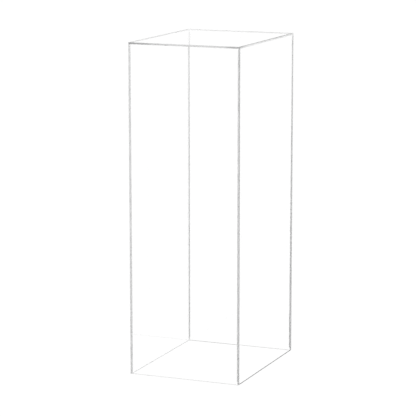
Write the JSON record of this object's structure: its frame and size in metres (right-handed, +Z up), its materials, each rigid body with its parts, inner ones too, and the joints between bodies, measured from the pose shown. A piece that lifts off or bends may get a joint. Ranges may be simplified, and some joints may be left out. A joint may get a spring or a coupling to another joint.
{
  "type": "display plinth",
  "caption": "Tall clear acrylic box plinth with an open base: flat sheets butt-jointed with clear cement, a top sheet lying on the walls, and polished, bevelled edges.",
  "frame": {"origin": "centre of the footprint, on the floor", "axes": "+Z up, +X to the right along the narrow front, +Y from the front wall to the rear wall"},
  "size_m": [0.35, 0.45, 1],
  "materials": {
    "clear_sheet": "polished",
    "clear_cement": "gloss"
  },
  "bodies": {
    "root": {"top_panel": "clear_sheet", "front_panel": "clear_sheet", "rear_panel": "clear_sheet", "left_panel": "clear_sheet", "right_panel": "clear_sheet", "bond_front_left": "clear_cement", "bond_front_right": "clear_cement", "bond_rear_left": "clear_cement", "bond_rear_right": "clear_cement", "bond_top_front": "clear_cement", "bond_top_rear": "clear_cement", "bond_top_left": "clear_cement", "bond_top_right": "clear_cement"}
  },
  "joints": []
}
